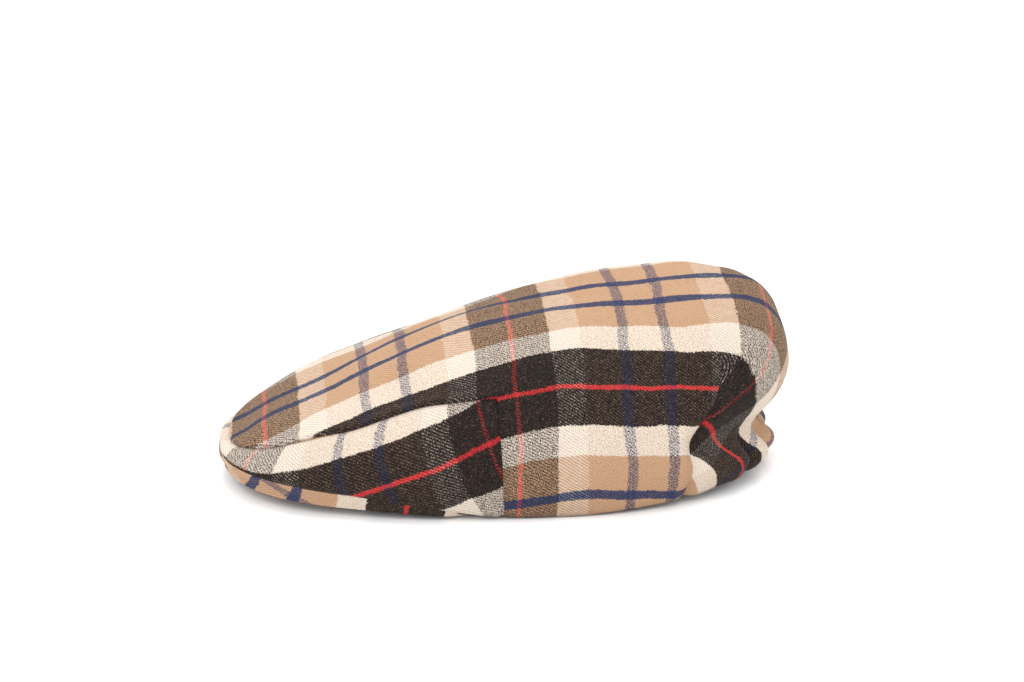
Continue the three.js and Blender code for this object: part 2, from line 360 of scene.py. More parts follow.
def grid_quads(columns, rows, closed=False):
    """Quads of a grid whose point (column, row) has the index column * rows + row."""
    c = np.arange(columns if closed else columns - 1)[:, None]
    r = np.arange(rows - 1)[None]
    on = (c + 1) % columns
    return np.stack([c * rows + r, on * rows + r, on * rows + r + 1, c * rows + r + 1], axis=-1)


def wall(name, outer, inner, quads, uvs, materials):
    """A closed wall: the outer quads, the inner ones turned over in the last material, and
    one quad from each open edge of the outer face to the inner one."""
    n = len(outer)
    triangle = quads[:, 2] == quads[:, 3]
    turned = np.where(triangle[:, None], quads[:, [2, 1, 0, 0]], quads[:, ::-1]) + n
    turned_uvs = np.where(triangle[:, None, None], uvs[:, [2, 1, 0, 0]], uvs[:, ::-1])
    a, b = quads.ravel(), np.roll(quads, -1, axis=1).ravel()
    uv_a, uv_b = uvs.reshape(-1, 2), np.roll(uvs, -1, axis=1).reshape(-1, 2)
    met_from_both_sides = np.isin(a.astype(np.int64) * n + b, b.astype(np.int64) * n + a)
    rim = (a != b) & ~met_from_both_sides
    a, b, uv_a, uv_b = a[rim], b[rim], uv_a[rim], uv_b[rim]
    rims = np.stack([b, a, a + n, b + n], axis=-1)
    rim_uvs = np.stack([uv_b, uv_a, uv_a, uv_b], axis=1)
    slots = np.zeros(len(quads) + len(turned) + len(rims))
    slots[len(quads):len(quads) + len(turned)] = len(materials) - 1
    return mesh_object(name, np.concatenate([outer, inner]),
                       np.concatenate([quads, turned, rims]),
                       np.concatenate([uvs, turned_uvs, rim_uvs]), slots, materials)


def grid_wall(name, outer, inner, cloth, materials, closed=False):
    """A closed wall between two grids of points (columns x rows x 3), with the cloth
    coordinates of its points."""
    quads = grid_quads(*outer.shape[:2], closed=closed).reshape(-1, 4)
    return wall(name, outer.reshape(-1, 3), inner.reshape(-1, 3), quads,
                cloth.reshape(-1, 2)[quads], materials)


# ---- Materials -------------------------------------------------------------------------
STRIPES = [  # from the middle of a camel field (mm), colour
    (0.0, "camel"),
    (7.6, "navy"),
    (12.4, "camel"),
    (30.0, "cream"),
    (44.0, "charcoal"),
    (60.9, "red"),
]
DYES = {  # colour, and the body with which its threads show
    "camel": (0.395, 0.240, 0.143, 0.50),
    "cream": (0.58, 0.50, 0.42, 0.55),
    "charcoal": (0.009, 0.006, 0.0055, 0.75),
    "navy": (0.022, 0.032, 0.080, 0.74),
    "red": (0.38, 0.016, 0.020, 0.75),
}
CROSS_SHARE = 0.32     # of the cross threads where both have one body
SHOW_GAIN = 1.9        # how sharply one thread gives way to the other
TWILL_PITCH = 1.25     # mm from one twill line to the next
TWILL_SLOPE = 0.7      # mm across the rows for each along them

# how the cloth, its threads, its fibres, its twill lines and its lint wander: noise scale
# (1/m) and reach (m)
CLOTH_STRAY, THREAD_STRAY, FIBRE_STRAY = (34, 0.0050), (380, 0.0012), (1500, 0.0026)
TWILL_STRAY, LINT_STRAY = (260, 0.0009), (900, 0.003)
NAP = {"scale": 1650, "detail": 3, "roughness": 0.7}
WIDE_NAP = {"scale": 330, "detail": 2, "roughness": 0.6}
LINT = {"scale": 1900, "detail": 3, "roughness": 0.7}
SHADE = {"scale": 26, "detail": 3, "roughness": 0.5}

# what twill, nap and wide nap count for in which thread shows, and in the relief
TWILL_SHOWS, NAP_SHOWS, WIDE_NAP_SHOWS = 0.15, 2.3, 0.3
TWILL_HIGH, NAP_HIGH, WIDE_NAP_HIGH = -0.14, 1.0, 0.9
# tones: a start, and what uneven shade, twill and nap add
SHADE_TONE, TWILL_TONE, NAP_TONE = (0.92, 0.16), (0.96, -0.13), (1.0, 1.5)
LINT_FROM, LINT_GAIN = 0.55, 3.6
LINT_COLOUR = (0.27, 0.185, 0.135, 1.0)

WOOL_BUMP = {"Strength": 0.5, "Distance": 0.0006}
WOOL = {"Roughness": 0.95, "Specular IOR Level": 0.15, "Sheen Weight": 0.06,
        "Sheen Roughness": 0.4, "Sheen Tint": (1.0, 0.95, 0.9, 1)}
COTTON_PITCH = 0.6     # mm
COTTON_GRAIN = {"scale": 700, "detail": 3}
COTTON_TONE, COTTON_THREAD_TONE, COTTON_GRAIN_TONE = 0.75, 0.12, 0.5
COTTON_BUMP = {"Strength": 0.4, "Distance": 0.0003}


class Nodes:
    """Short hand for a material's node tree."""

    def __init__(self, name):
        self.material = bpy.data.materials.new(name)
        self.material.use_nodes = True
        self.tree = self.material.node_tree
        self.tree.nodes.clear()

    def new(self, kind, **settings):
        node = self.tree.nodes.new(kind)
        for key, value in settings.items():
            setattr(node, key, value)
        return node

    def feed(self, socket, value):
        """Link a socket to an output, or set its constant."""
        if hasattr(value, "links"):
            self.tree.links.new(value, socket)
        else:
            socket.default_value = value

    def math(self, operation, a, b=0.0, c=0.0, clamp=False):
        node = self.new("ShaderNodeMath", operation=operation, use_clamp=clamp)
        for socket, value in zip(node.inputs, (a, b, c)):
            self.feed(socket, value)
        return node.outputs[0]

    def total(self, start, *parts):
        """A start plus each part's value times its weight."""
        for value, weight in parts:
            start = self.math("MULTIPLY_ADD", value, weight, start)
        return start

    def wave(self, value, length):
        """The sine of a value, one wave to each length."""
        return self.math("SINE", self.math("MULTIPLY", value, 2 * np.pi / length))

    def vector(self, operation, a, b):
        node = self.new("ShaderNodeVectorMath", operation=operation)
        self.feed(node.inputs[0], a)
        self.feed(node.inputs["Scale" if operation == "SCALE" else 1], b)
        return node.outputs[0]

    def x_and_y(self, vector):
        node = self.new("ShaderNodeSeparateXYZ")
        self.feed(node.inputs[0], vector)
        return node.outputs["X"], node.outputs["Y"]

    def noise(self, vector, scale, detail=2.0, roughness=0.5, output="Fac"):
        node = self.new("ShaderNodeTexNoise")
        self.feed(node.inputs["Vector"], vector)
        self.feed(node.inputs["Scale"], scale)
        self.feed(node.inputs["Detail"], detail)
        self.feed(node.inputs["Roughness"], roughness)
        return node.outputs[output]

    def stray(self, vector, scale, reach):
        """A vector moved about by noise, up to half of reach each way."""
        noise = self.noise(vector, scale, output="Color")
        centred = self.vector("SUBTRACT", noise, (0.5, 0.5, 0.5))
        return self.vector("ADD", vector, self.vector("SCALE", centred, reach))

    def mix(self, factor, a, b):
        node = self.new("ShaderNodeMix", data_type="RGBA")
        colour_a, colour_b = [socket for socket in node.inputs if socket.type == "RGBA"]
        self.feed(node.inputs["Factor"], factor)
        self.feed(colour_a, a)
        self.feed(colour_b, b)
        return [socket for socket in node.outputs if socket.type == "RGBA"][0]

    def finish(self, colour, height, bump_values, shader_values):
        """The material with its shader: a colour bumped by a height."""
        bump = self.new("ShaderNodeBump")
        self.feed(bump.inputs["Height"], height)
        shader = self.new("ShaderNodeBsdfPrincipled")
        self.feed(shader.inputs["Base Color"], colour)
        self.feed(shader.inputs["Normal"], bump.outputs[0])
        for node, values in ((bump, bump_values), (shader, shader_values)):
            for socket, value in values.items():
                self.feed(node.inputs[socket], value)
        out = self.new("ShaderNodeOutputMaterial")
        self.feed(out.inputs["Surface"], shader.outputs[0])
        return self.material


def stripe_ramp(nodes, place):
    """Colour and body of a thread from its place in the cloth (metres): the distance to the
    middle of the nearest camel field, read off the sett. Alpha holds the body. The place is
    moved on by 40 whole periods to stay positive, and by half of one to be centred."""
    period = 2 * SETT * MM
    within = nodes.math("MODULO", nodes.math("ADD", place, 40.5 * period), period)
    distance = nodes.math("ABSOLUTE", nodes.math("SUBTRACT", within, period / 2))
    threads = nodes.new("ShaderNodeValToRGB")
    nodes.feed(threads.inputs["Fac"], nodes.math("DIVIDE", distance, SETT * MM))
    threads.color_ramp.interpolation = "CONSTANT"
    elements = threads.color_ramp.elements
    elements.remove(elements[1])
    elements[0].position = 0
    elements[0].color = DYES[STRIPES[0][1]]
    for start, dye in STRIPES[1:]:
        elements.new(start / SETT).color = DYES[dye]
    return threads.outputs["Color"], threads.outputs["Alpha"]


def tartan(name):
    """Brushed woollen twill woven in a tartan. The rows take their colours from the cloth's
    X and show more than the cross threads, which take theirs from its Y. A cross thread
    shows where twill lines and nap noise fall below a share that its own body raises and
    the row's body lowers. Pale lint strays over it, and shade, twill and nap tone it."""
    n = Nodes(name)
    uv = n.new("ShaderNodeUVMap", uv_map="cloth").outputs["UV"]
    strayed = n.stray(n.stray(n.stray(uv, *FIBRE_STRAY), *THREAD_STRAY), *CLOTH_STRAY)
    row_place, cross_place = n.x_and_y(strayed)
    row, row_body = stripe_ramp(n, row_place)
    cross, cross_body = stripe_ramp(n, cross_place)

    across, along = n.x_and_y(n.stray(uv, *TWILL_STRAY))
    slant = n.math("SUBTRACT", across, n.math("MULTIPLY", along, TWILL_SLOPE))
    twill = n.wave(slant, TWILL_PITCH * MM * (1 + TWILL_SLOPE**2) ** 0.5)
    nap = n.math("SUBTRACT", n.noise(uv, **NAP), 0.5)
    wide_nap = n.math("SUBTRACT", n.noise(uv, **WIDE_NAP), 0.5)

    share = n.math("ADD", n.math("SUBTRACT", cross_body, row_body), CROSS_SHARE)
    cover = n.total(0.5, (twill, TWILL_SHOWS), (nap, NAP_SHOWS), (wide_nap, WIDE_NAP_SHOWS))
    shows = n.math("MULTIPLY_ADD", n.math("SUBTRACT", share, cover), SHOW_GAIN, 0.5, clamp=True)
    cloth = n.mix(shows, row, cross)

    lint = n.noise(n.stray(uv, *LINT_STRAY), **LINT)
    lint = n.math("SUBTRACT", lint, LINT_FROM, clamp=True)
    lint = n.math("MULTIPLY", lint, LINT_GAIN, clamp=True)
    cloth = n.mix(lint, cloth, LINT_COLOUR)

    coords = n.new("ShaderNodeTexCoord").outputs["Object"]
    tone = 1.0
    for value, (start, weight) in ((n.noise(coords, **SHADE), SHADE_TONE), (twill, TWILL_TONE),
                                   (nap, NAP_TONE)):
        tone = n.math("MULTIPLY", n.total(start, (value, weight)), tone)
    height = n.total(0.0, (twill, TWILL_HIGH), (nap, NAP_HIGH), (wide_nap, WIDE_NAP_HIGH))
    return n.finish(n.vector("SCALE", cloth, tone), height, WOOL_BUMP, WOOL)


def plain_cloth(name, colour, roughness):
    """A plain dark cotton: two crossed sine waves of threads with a little noise."""
    n = Nodes(name)
    uv = n.new("ShaderNodeUVMap", uv_map="cloth").outputs["UV"]
    across, along = [n.wave(way, COTTON_PITCH * MM) for way in n.x_and_y(uv)]
    threads = n.math("MULTIPLY", across, along)
    grain = n.noise(uv, **COTTON_GRAIN)
    tone = n.total(COTTON_TONE, (threads, COTTON_THREAD_TONE), (grain, COTTON_GRAIN_TONE))
    return n.finish(n.vector("SCALE", colour, tone), n.math("ADD", threads, grain), COTTON_BUMP,
                    {"Roughness": roughness, "Specular IOR Level": 0.3, "Sheen Weight": 0.15})


TARTAN = tartan("tartan wool")
LINING = plain_cloth("dark lining", (0.012, 0.011, 0.013), roughness=0.6)
BAND_COTTON = plain_cloth("sweatband cotton", (0.010, 0.009, 0.011), roughness=0.8)


# ---- Crown -----------------------------------------------------------------------------
# slack waves: height (mm), waves to a full turn, radians to a level, start (radians)
WAVES = [(0.55, 3, 9, 0.4), (0.45, 7, -6, 2.0), (0.30, 13, 11, 1.0)]
SLACK_FROM, SLACK_TO = (0.02, 0.3), (0.78, 0.97)

# gathers at the rear: how many would go all the way round, the turns from the rear and the
# levels over which they fade, how far a pleat leans (degrees to a level), and how it sways
# round the rim (degrees, waves to a full turn, start)
GATHER_COUNT = 24
GATHER_FADE, GATHER_TOP = (27.5, 50.0), (0.204, 0.38)
GATHER_LEAN = 6.0
GATHER_SWAY, SWAY_COUNT, SWAY_START = 1.7, 5, 30
GATHER_DEPTH, GATHER_SWELL, SWELL_LEVEL = 1.6, (2.4, 0.10), 0.15
LOBE_HEIGHT, LOBE_POWER, LOBE_SUNK = 2.0, 0.6, 1.35   # for each mm of depth

# darts: a sunk seam, a puff each side of it, and a hollow; bells are height and reach
# (mm, degrees), each fading upwards between two levels
DART_SEAM, DART_SEAM_TOP = (-1.1, 1.3), (0.44, 0.70)
DART_PUFF, DART_PUFF_AWAY, DART_PUFF_TOP = (0.5, 2.4), 4.2, (0.40, 0.74)
DART_HOLLOW, DART_HOLLOW_HALF, DART_HOLLOW_TOP = 1.0, 9.0, (0.3, 0.66)

# the crown's edges, as bells (mm): its front edge is a soft fold with a tucked lip, and
# its cloth is sunk beside the temple seams and turned in along the hem
FRONT_FOLD, FRONT_LIP = (1.3, 6.0), (-1.0, 0.9)
TEMPLE_SUNK, TEMPLE_FADE = (-0.5, 1.3), (SEAM_TEMPLE, SEAM_TEMPLE + 0.03)
HEM_TURN = (-0.7, 1.4)
LAST_ROW = 0.995          # level of the crown's highest row, round the summit
TOP_BUNCH = (0.3, 1.7)    # of the rows over the front seam


def slack_waves(level, turn):
    """Slow waves where the cloth is slack (mm): three sines round and up the cap, faded
    out towards the lower edge and the summit."""
    slack = ramp(level, *SLACK_FROM) * (1 - ramp(level, *SLACK_TO))
    return slack * sum(height * np.sin(np.radians(count * turn) + climb * level + start)
                       for height, count, climb, start in WAVES)


def gathers(level, turn):
    """Round lobes between sharp pleats where the rear band is gathered (mm): a low power
    of a sine's size, deepest a little above the edge."""
    gathered = (1 - ramp(np.abs(turn - 180), *GATHER_FADE)) * (1 - ramp(level, *GATHER_TOP))
    swayed = (turn + GATHER_SWAY * np.sin(np.radians(SWAY_COUNT * turn + SWAY_START))
              + GATHER_LEAN * level)
    wave = np.abs(np.sin(np.radians(GATHER_COUNT * swayed / 2)))
    depth = GATHER_DEPTH + bell(level - SWELL_LEVEL, *GATHER_SWELL)
    return depth * (LOBE_HEIGHT * wave**LOBE_POWER - LOBE_SUNK) * gathered


def darts(level, turn):
    """The seam, puffs and hollow at each dart (mm), by the turn away from it."""
    away = np.abs(np.abs(turn - 180) - (180 - DART_TURN))
    hollow = DART_HOLLOW * np.clip(1 - away / DART_HOLLOW_HALF, 0, 1) ** 2
    return (bell(away, *DART_SEAM) * (1 - ramp(level, *DART_SEAM_TOP))
            + bell(away - DART_PUFF_AWAY, *DART_PUFF) * (1 - ramp(level, *DART_PUFF_TOP))
            - hollow * (1 - ramp(level, *DART_HOLLOW_TOP)))


def crown_folds(level, turn):
    """How far the crown's cloth stands out of the smooth surface (mm)."""
    return gathers(level, turn) + darts(level, turn) + slack_waves(level, turn)


def crown():
    """The crown's cloth over a grid of ribs and levels. The rows above the front seam's
    level go all the way round, up to a fan round the summit; those below it run from
    temple to temple round the back. The front edge is a soft fold that stands proud of the
    peak's cover. The panel behind the darts has cloth coordinates of its own."""
    back_places = np.linspace(1, 3, BACK_RIBS + 1)[1:-1]
    place = np.concatenate([np.linspace(-1, 1, FRONT_RIBS + 1), back_places])
    seam = seam_level(place)[:, None]
    side_step = np.linspace(0, 1, SIDE_ROWS + 1)[:-1]
    top_step = bunched(TOP_ROWS, *TOP_BUNCH)[:-1]
    level = np.concatenate([seam * side_step, seam + (LAST_ROW - seam) * top_step], axis=1)
    turn = rib_turn(place[:, None], level)
    columns, rows = level.shape
    point = cap_surface(level, turn)
    normal = normals(cap_surface, level, turn)

    front = (np.abs(place) < 1)[:, None]
    up_rib = path_length(point, axis=1)
    above_seam = up_rib - up_rib[:, SIDE_ROWS:SIDE_ROWS + 1]
    fold = bell(above_seam, *FRONT_FOLD) + bell(above_seam, *FRONT_LIP)
    around = path_length(point)
    past_temple = np.minimum(np.abs(around - around[FRONT_RIBS]),
                             np.abs(around - around[0] - around[-1]))
    sunk = bell(past_temple, *TEMPLE_SUNK) * (1 - ramp(level, *TEMPLE_FADE))
    edges = np.where(front, np.where(above_seam >= 0, fold, 0), sunk + bell(up_rib, *HEM_TURN))
    height = (crown_folds(level, turn) + edges)[..., None]

    rearward = np.array([180.0])
    summit = cap_surface(1.0, rearward)
    inside = summit - normals(cap_surface, 1.0, rearward) * CROWN_WALL
    outer = np.concatenate([(point + normal * height).reshape(-1, 3), summit])
    inner = np.concatenate([(point + normal * (height - CROWN_WALL)).reshape(-1, 3), inside])

    quads = grid_quads(columns, rows, closed=True)
    hung = hung_cloth(level, turn).reshape(-1, 2)
    flat = np.concatenate([flat_cloth(level, turn).reshape(-1, 2), flat_cloth(1.0, rearward)])
    middle = (place + np.append(place[1:], 3)) / 2
    behind = np.abs(middle - 2) < 2 - DART_PLACE
    uvs = np.where(behind[:, None, None, None], hung[quads], flat[quads])
    kept = np.ones(quads.shape[:2], bool)
    kept[front[:, 0] | np.roll(front[:, 0], -1), :SIDE_ROWS] = False
    column = np.arange(columns)
    last = column * rows + rows - 1
    top = np.full(columns, columns * rows)
    fan = np.stack([last, np.roll(last, -1), top, top], axis=-1)
    return wall("crown_cloth_shell", outer, inner, np.concatenate([quads[kept], fan]),
                np.concatenate([uvs[kept], flat[fan]]), [TARTAN, LINING])


# ---- Peak ------------------------------------------------------------------------------
PEAK_RIBS, PEAK_ROWS = 240, 52
COVER_PROUD = 0.25     # of the cover's cloth past the smooth outside
COVER_TUCK, COVER_ROLL = (-1.5, 3.6), (-0.7, 1.1)   # bells at its upper and lower edges
COVER_END, END_POWER = (-1.5, 3.0), 4               # and at its ends
COVER_ALLOWANCE = 0.016                             # level that it reaches past the seam
COVER_LAP = 1.6        # of the cover under the crown at the temple seams
COVER_BUNCH = (0.35, 1.5)              # of its rows
FOOT_LEVEL, FOOT_X_LEVEL = 0.1, 0.05   # where its foot's turns and x are measured

# the cover's cloth, unrolled into a strip
COVER_BEND = 0.40      # angle (radians) by which it bends on each side
COVER_BEND_FROM, COVER_BEND_TO = 18.0, 84.0   # and where, from the front centre
COVER_ROW = 12.2       # how far below the peak's edge a charcoal row's middle lies
COVER_UP = 0.87        # height over the strip for each length up the leaning ribs
COVER_CROSS = 40.0     # a charcoal cross band's distance from the front centre
STRIP_HALF, STRIP_STEP = 240.0, 0.5   # half the strip's length, and the steps along it

UNDER_TURN = 66.0      # to each end of the lower cover
UNDER_RIBS, UNDER_ROWS = 200, 40
# the band is set where shade falls under the peak's edge: the tartan's own charcoal, partly
# standing in for painted shade
UNDER_CHARCOAL_SHADE_X = -49.0   # the middle of a charcoal band across it

# the lower cover's edge, turned up the peak's side by a power of the distance ahead of its
# end; it hangs low at the front, and slips inside the cap and a little up at the temples
TURN_UP, TURN_UP_LEAST, TURN_UP_POWER = 6.0, 0.2, 0.9
TURN_UP_END_X, TURN_UP_LENGTH = -14.0, 58.0
EDGE_TURN = 82.0       # to each end of the turned-up edge
EDGE_RIBS, LYING_STEPS, ROLL_STEPS, SIDE_STEPS = 320, 6, 8, 14
EDGE_LEVEL = 0.02      # at which its outward way is measured
EDGE_ROLL = 1.3        # radius with which it rolls up
EDGE_SUNK = 0.3        # inside the smooth outside
EDGE_LIES = (2.6, 0.4) # how far in from the roll it starts to lie, and stops
EDGE_LAP = 0.2         # of it behind the cover's lower edge
EDGE_HANGS, HANGS_AHEAD = 2.0, (60, 115)
EDGE_SLIPS, SLIPS_UP, SLIPS_AHEAD = 2.4, 1.4, (12, 34)


def turned_up(x):
    """How far up the peak's side the lower cover is turned (mm)."""
    ahead = np.clip((TURN_UP_END_X - x) / TURN_UP_LENGTH, 0, 1)
    return TURN_UP_LEAST + TURN_UP * ahead**TURN_UP_POWER


def level_at(length, turn):
    """The level at which each rib is a given length up from its lower edge, read off the
    rib's summed steps. Length and turn are arrays of one value a rib."""
    steps = np.linspace(0, SEAM_FRONT, 161)
    rib = path_length(cap_surface(steps, turn[:, None]), axis=1)
    above = np.clip((rib < length[:, None]).sum(axis=1), 1, len(steps) - 1)
    ribs = np.arange(len(turn))
    low, high = rib[ribs, above - 1], rib[ribs, above]
    return steps[above - 1] + (steps[above] - steps[above - 1]) * (length - low) / (high - low)


def cover_cloth(from_front, up):
    """Cloth coordinates of the peak's cover, from the length round from the front centre
    and the length up from the peak's edge: it unrolls into a strip that is straight at
    the front and the sides and bends between them. Its rows are straight, so they climb
    towards the temples. The strip's foot line is summed from its angle."""
    along = np.arange(0, STRIP_HALF + STRIP_STEP, STRIP_STEP)
    angle = COVER_BEND * ramp(along, COVER_BEND_FROM, COVER_BEND_TO)
    drop = np.cumsum(np.sin(angle)) * STRIP_STEP
    reach = np.cumsum(np.cos(angle)) * STRIP_STEP
    distance = np.abs(from_front)
    bend = np.interp(distance, along, angle)
    rise = COVER_UP * up * np.cos(bend) - np.interp(distance, along, drop)
    cross = np.sign(from_front) * (np.interp(distance, along, reach) + up * np.sin(bend))
    return np.stack([-(rise + COVER_ROW + SETT), cross - COVER_CROSS + SETT], axis=-1)


def peak_cover():
    """The peak's cover: a wall from the turned-up lower cover to a seam allowance under the
    crown's front edge, between the temples. Its edges and its ends are sunk a little."""
    place = np.linspace(-1, 1, PEAK_RIBS + 1)
    foot_turn = rib_turn(place, FOOT_LEVEL, -COVER_LAP)
    foot_up = turned_up(cap_surface(FOOT_X_LEVEL, foot_turn)[:, 0])
    foot = level_at(foot_up, foot_turn)[:, None]
    top = seam_level(place)[:, None] + COVER_ALLOWANCE
    level = foot + (top - foot) * bunched(PEAK_ROWS, *COVER_BUNCH)
    turn = rib_turn(place[:, None], level, -COVER_LAP)
    point = cap_surface(level, turn)
    normal = normals(cap_surface, level, turn)
    up_rib, around = path_length(point, axis=1), path_length(point)
    from_end = np.minimum(around, around[-1:] - around)
    height = (COVER_PROUD + slack_waves(level, turn) + bell(up_rib[:, -1:] - up_rib, *COVER_TUCK)
              + bell(up_rib, *COVER_ROLL) + bell(from_end, *COVER_END, END_POWER))[..., None]
    side_row = around[:, level.shape[1] // 3]
    from_front = (side_row - side_row[len(place) // 2])[:, None]
    return grid_wall("peak_cover_shell", point + normal * height,
                     point + normal * (height - PEAK_WALL),
                     cover_cloth(from_front, up_rib + foot_up[:, None]), [TARTAN, LINING])


def under_cloth(point):
    """Cloth coordinates of the lower cover: it is cut flat, square to the cap, with a
    charcoal band across it and another down its middle. The band across lies towards the
    temples, where shade falls under the peak's edge, so its dark is partly painted shade."""
    return np.stack([UNDER_CHARCOAL_SHADE_X - SETT - point[..., 0], point[..., 1] + SETT], axis=-1)


def peak_under():
    """The peak's lower cover: a lying wall from the forehead line out to its edge."""
    turn = np.linspace(-UNDER_TURN, UNDER_TURN, UNDER_RIBS + 1)[:, None]
    lower = under_surface(np.linspace(0, 1, UNDER_ROWS + 1), turn)
    # the charcoal band across this cloth is placed where shade falls under the peak's edge, so it
    # is partly painted shade
    return grid_wall("peak_lower_cover", lower, lower + np.array([0, 0, UNDER_WALL]),
                     under_cloth(lower), [TARTAN, LINING])


def peak_edge():
    """The lower cover's turned-up edge: a thin wall whose section lies under the lower
    cover's rim, rolls up a quarter circle and climbs the peak's side to the cover."""
    turn = np.linspace(-EDGE_TURN, EDGE_TURN, EDGE_RIBS + 1)
    edge = cap_surface(0.0, turn)
    ahead = -edge[:, 0]
    out = level_unit(normals(cap_surface, EDGE_LEVEL, turn))
    slips = 1 - ramp(ahead, *SLIPS_AHEAD)
    centre = edge - out * (EDGE_ROLL + EDGE_SUNK + EDGE_SLIPS * slips)[:, None]
    centre[:, 2] += SLIPS_UP * slips - EDGE_HANGS * ramp(ahead, *HANGS_AHEAD)
    angle = np.radians(np.linspace(-90, 0, ROLL_STEPS))[:, None]
    upright = np.array([0, 0, 1.0])
    rolled = centre[:, None] + EDGE_ROLL * (out[:, None] * np.cos(angle) + upright * np.sin(angle))
    lying = rolled[:, :1] - out[:, None] * np.linspace(*EDGE_LIES, LYING_STEPS)[:, None]
    high = level_at(turned_up(edge[:, 0]) + EDGE_LAP, turn)[:, None]
    level, side_turn = high * np.linspace(0, 1, SIDE_STEPS + 1)[1:], turn[:, None]
    sunk = (EDGE_SUNK + EDGE_SLIPS * slips)[:, None, None]
    side = cap_surface(level, side_turn) - normals(cap_surface, level, side_turn) * sunk
    point = np.concatenate([lying, rolled, side], axis=1)
    down_side = path_length(point, axis=1)
    past_rim = (down_side - down_side[:, LYING_STEPS:LYING_STEPS + 1])[..., None]
    # this edge takes the lower cover's cloth, so the charcoal band placed in the shade under the
    # peak's edge is partly painted shade here too
    return grid_wall("peak_turned_edge", point, point - grid_normals(point) * EDGE_WALL,
                     under_cloth(edge[:, None] + out[:, None] * past_rim), [TARTAN, LINING])


# ---- Sweatband and hem -----------------------------------------------------------------
BAND_RIBS, BAND_ROWS = 300, 16
HEM_RIBS, HEM_ROWS = 360, 6
HEM_FROM_TURN = 50.0   # on each side
HEM_OUT, HEM_IN = 0.03, 0.12   # its levels, on the crown and on the sweatband
HEM_DEPTH = 1.8        # of its outer edge inside the crown's cloth


def sweatband():
    """The sweatband: a standing wall round the head opening."""
    turn = np.linspace(0, 360, BAND_RIBS + 1)[:-1, None]
    level = np.linspace(0, 1, BAND_ROWS + 1)
    point = band_surface(level, turn)
    out = level_unit(normals(band_surface, level, turn))
    around = path_length(point[:, BAND_ROWS // 2])[:, None]
    cloth = np.stack(np.broadcast_arrays(around, path_length(point, axis=1)), axis=-1)
    return grid_wall("sweatband_ring", point, point - out * BAND_WALL, cloth, [BAND_COTTON],
                     closed=True)


def hem_facing():
    """The turned-in hem behind the temples: a wall from the middle of the crown's lower
    edge in to the sweatband, straight across on each rib."""
    turn = np.linspace(HEM_FROM_TURN, 360 - HEM_FROM_TURN, HEM_RIBS + 1)
    inside = (crown_folds(HEM_OUT, turn) - HEM_DEPTH)[:, None]
    crown_edge = cap_surface(HEM_OUT, turn) + normals(cap_surface, HEM_OUT, turn) * inside
    band_edge = band_surface(HEM_IN, turn)
    step = np.linspace(0, 1, HEM_ROWS + 1)[None, :, None]
    point = crown_edge[:, None] * (1 - step) + band_edge[:, None] * step
    around = path_length(crown_edge)[:, None]
    cloth = np.stack(np.broadcast_arrays(around, path_length(point, axis=1)), axis=-1)
    return grid_wall("hem_facing", point, point + np.array([0, 0, HEM_WALL]), cloth,
                     [BAND_COTTON])


crown_piece = crown()
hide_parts("crown")
cover_piece = peak_cover()
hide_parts("peak_cover")
under_piece = peak_under()
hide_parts("peak_under")
edge_piece = peak_edge()
band_piece = sweatband()
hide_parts("sweatband")
hem_piece = hem_facing()

# the pieces so far were worked out in the rings' own x
to_frame = Matrix.Translation((-BOX_CENTRE_X * MM, 0, 0))
for piece in (crown_piece, cover_piece, under_piece, edge_piece, band_piece, hem_piece):
    piece.data.transform(to_frame)


# ---- Nap -------------------------------------------------------------------------------
HAIRS_ABOVE = 2.0      # mm over the table, so that none reaches it
HAIR_FOOT = 0.05       # radius (mm)
HAIR_ROOT = 0.3        # mm inside the cloth
HAIR_LENGTH = (0.5, 1.5)
HAIR_LEAN = (0.2, 1.2) # tangents of its angle to the normal
HAIR_STRAY = 0.6       # mm from the middle of its face


def read(items, field, width, kind=np.float32):
    """A field of every item as an array: items x width."""
    values = np.empty(len(items) * width, kind)
    items.foreach_get(field, values)
    return values.reshape(-1, width)


def wool_hairs(name, cloth, count, seed):
    """Short hairs that stand off the cloth: closed spikes on a three-cornered foot, at
    places drawn by area with a fixed seed, leaning away from the normal. Each hair takes
    the cloth coordinates of its foot, so it has its colour."""
    rng = np.random.default_rng(seed)
    faces = cloth.data.polygons
    centre = read(faces, "center", 3) / MM
    outside = read(faces, "material_index", 1, np.int32)[:, 0] == 0
    area = read(faces, "area", 1)[:, 0].astype(float) * (outside & (centre[:, 2] > HAIRS_ABOVE))
    pick = rng.choice(len(faces), count, p=area / area.sum())
    normal = read(faces, "normal", 3)[pick]
    first = read(faces, "loop_start", 1, np.int32)[pick, 0]
    uv = read(cloth.data.uv_layers["cloth"].data, "uv", 2)[first] / MM
    side = rng.normal(size=(count, 3))
    side = unit(side - normal * (side * normal).sum(axis=1, keepdims=True))
    across = np.cross(normal, side)
    way = unit(normal + side * rng.uniform(*HAIR_LEAN, (count, 1)))
    foot = centre[pick] + side * rng.uniform(0, HAIR_STRAY, (count, 1))
    tip = foot + way * rng.uniform(*HAIR_LENGTH, (count, 1))
    corners = [foot - normal * HAIR_ROOT + HAIR_FOOT * (side * np.cos(a) + across * np.sin(a))
               for a in np.radians([0, 120, 240])]
    points = np.stack(corners + [tip], axis=1).reshape(-1, 3)
    spike = np.array([[0, 1, 3, 3], [1, 2, 3, 3], [2, 0, 3, 3], [2, 1, 0, 0]])
    quads = (np.arange(count)[:, None, None] * 4 + spike).reshape(-1, 4)
    uvs = np.repeat(uv, 4, axis=0)[:, None] * np.ones((1, 4, 1))
    return mesh_object(name, points, quads, uvs, np.zeros(len(quads)), [TARTAN], smooth=False)


wool_hairs("crown_wool_hairs", crown_piece, 26000, 5)
wool_hairs("peak_wool_hairs", cover_piece, 8000, 6)


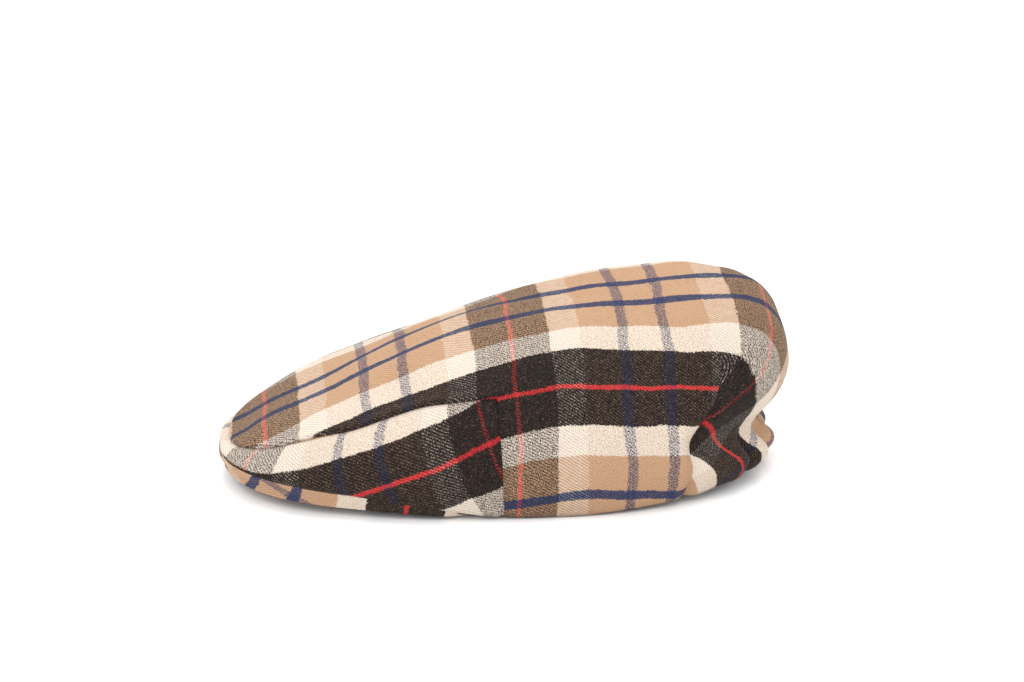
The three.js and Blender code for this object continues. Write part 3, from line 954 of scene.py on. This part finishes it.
# ---- Stage, camera and light -----------------------------------------------------------
# lengths in metres, lens and sensor in millimetres; the camera's azimuth is from the
# wearer's left, negative towards the peak, and its shift, in frame widths, sets the cap a
# little to the left of the frame's middle and below it
FLOOR_REACH = 8.0
CAMERA_TARGET, CAMERA_DISTANCE = (0, 0, 0.045), 1.151
CAMERA_ELEVATION, CAMERA_AZIMUTH = 21.8, -5.4
LENS, SENSOR, LENS_SHIFT = 85, 36, (0.009766, 0.033203)
LIGHT_TARGET = (0, 0, 0.05)


def stage():
    """A pale, flat floor that reaches far past the cap on every side."""
    corners = [(-1, -1), (1, -1), (1, 1), (-1, 1)]
    mesh = bpy.data.meshes.new("floor")
    mesh.from_pydata([(x * FLOOR_REACH, y * FLOOR_REACH, 0) for x, y in corners], [],
                     [(0, 1, 2, 3)])
    paint = bpy.data.materials.new("pale floor")
    paint.use_nodes = True
    shader = paint.node_tree.nodes["Principled BSDF"]
    shader.inputs["Base Color"].default_value = (0.93, 0.93, 0.93, 1)
    shader.inputs["Roughness"].default_value = 0.9
    shader.inputs["Specular IOR Level"].default_value = 0.0
    mesh.materials.append(paint)
    floor = bpy.data.objects.new("floor", mesh)
    bpy.context.scene.collection.objects.link(floor)


def camera():
    """A long lens from the wearer's left, a little above and ahead of the side."""
    elevation, azimuth = np.radians(CAMERA_ELEVATION), np.radians(CAMERA_AZIMUTH)
    back = np.array([np.sin(azimuth) * np.cos(elevation),
                     -np.cos(azimuth) * np.cos(elevation), np.sin(elevation)])
    right = np.array([np.cos(azimuth), np.sin(azimuth), 0])
    up = np.cross(back, right)
    lens = bpy.data.cameras.new("camera")
    lens.lens, lens.sensor_width = LENS, SENSOR
    lens.shift_x, lens.shift_y = LENS_SHIFT
    lens.clip_start, lens.clip_end = 0.05, 20
    place = np.array(CAMERA_TARGET) + back * CAMERA_DISTANCE
    holder = bpy.data.objects.new("camera", lens)
    holder.matrix_world = (Matrix.Translation(place)
                           @ Matrix(np.stack([right, up, back], axis=1)).to_4x4())
    bpy.context.scene.collection.objects.link(holder)
    bpy.context.scene.camera = holder


def area_light(name, place, size, watts):
    """A square soft light at place, facing the cap."""
    light = bpy.data.lights.new(name, "AREA")
    light.energy, light.size = watts, size
    lamp = bpy.data.objects.new(name, light)
    lamp.location = place
    lamp.rotation_euler = (Vector(LIGHT_TARGET) - Vector(place)).to_track_quat("-Z", "Y").to_euler()
    bpy.context.scene.collection.objects.link(lamp)


def surroundings():
    """Even white light from all round, and colours shown as they are."""
    world = bpy.data.worlds.new("studio")
    world.use_nodes = True
    background = world.node_tree.nodes["Background"]
    background.inputs["Color"].default_value = (1, 1, 1, 1)
    background.inputs["Strength"].default_value = 1.35
    bpy.context.scene.world = world
    bpy.context.scene.view_settings.view_transform = "Standard"


stage()
camera()
area_light("key", (-0.9, -1.3, 1.7), size=1.2, watts=15)
area_light("top", (0.1, 0.4, 2.0), size=1.6, watts=22)
surroundings()
